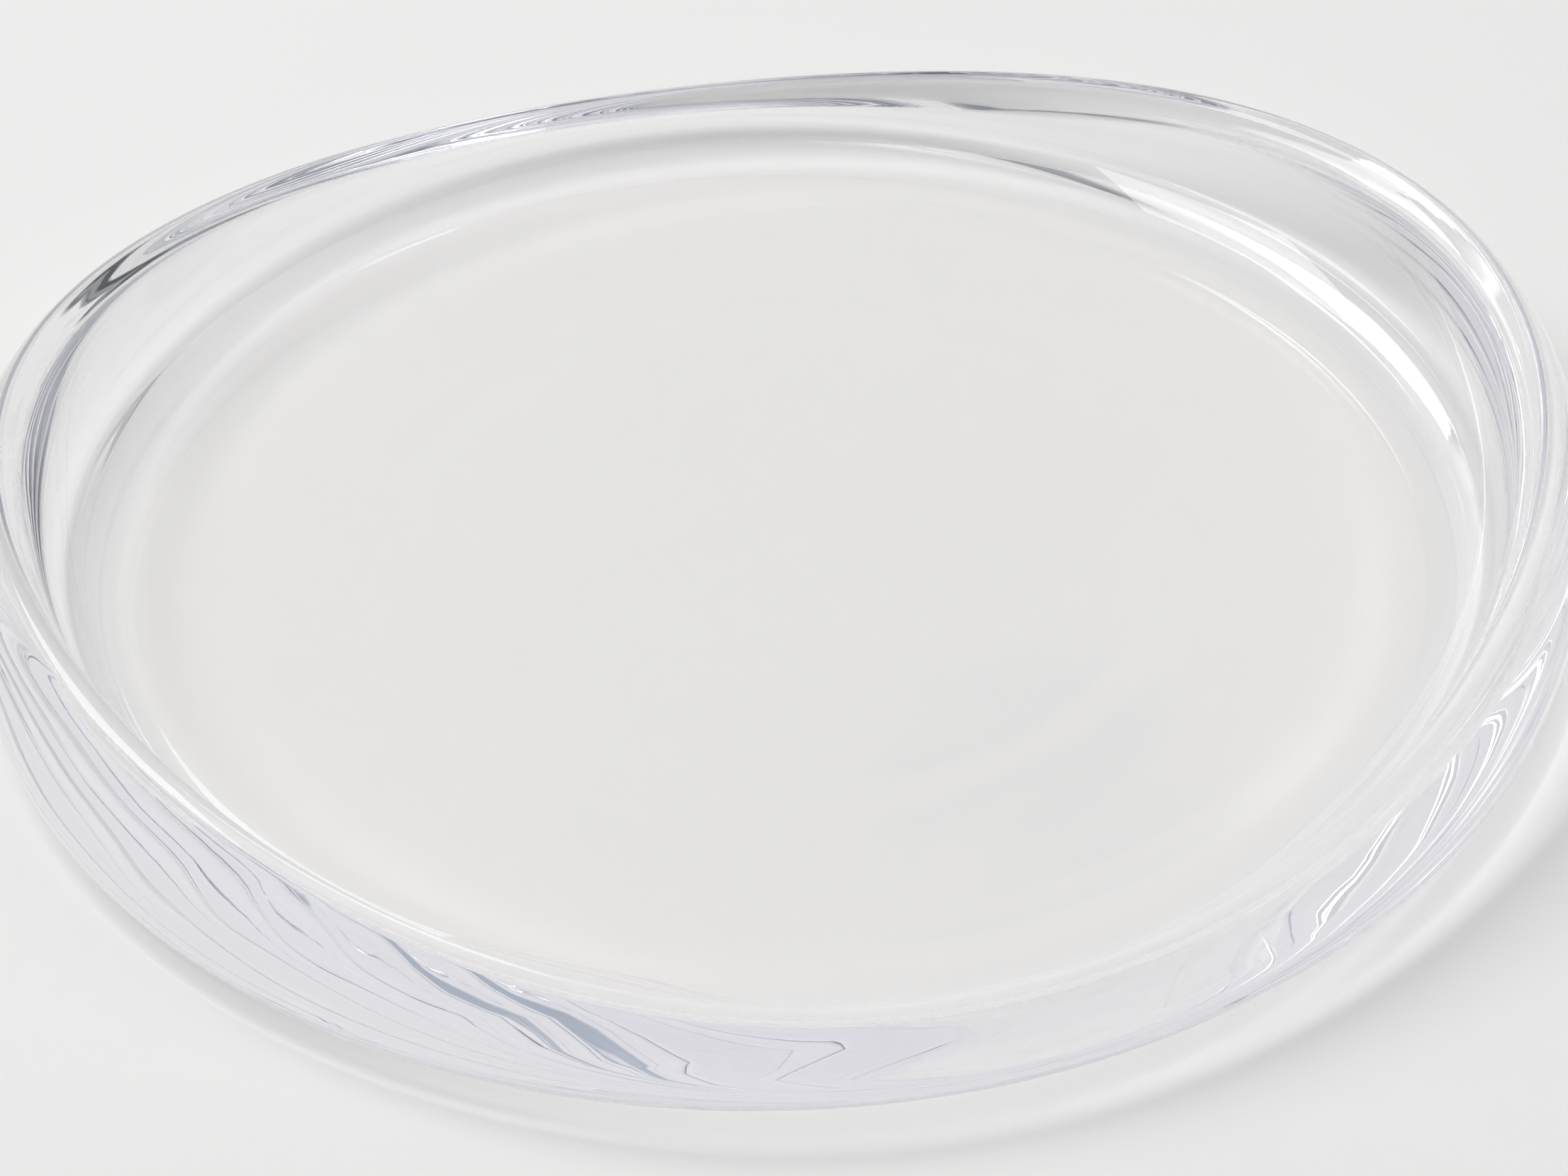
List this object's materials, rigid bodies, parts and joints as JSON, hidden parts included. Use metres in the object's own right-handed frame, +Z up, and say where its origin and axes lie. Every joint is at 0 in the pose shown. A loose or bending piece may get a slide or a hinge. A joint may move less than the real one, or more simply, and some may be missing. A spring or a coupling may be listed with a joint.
{
  "type": "watch glass dish",
  "caption": "Shallow round dish of thick clear glass with a flat floor, a hollow sweep up to a narrow rounded rim, and a bulging outer wall.",
  "frame": {"origin": "on the surface that the dish stands on, under the centre of the round base", "axes": "+Z up through the dish's open side; +X and +Y lie in the base, with the rim's three soft lobes at 30, 150 and 270 degrees from +X"},
  "size_m": [0.12, 0.1201, 0.015],
  "materials": {
    "clear_glass": "fire-polished, clear, very faint blue-grey tint"
  },
  "bodies": {
    "root": {"glass_dish": "clear_glass"}
  },
  "joints": []
}
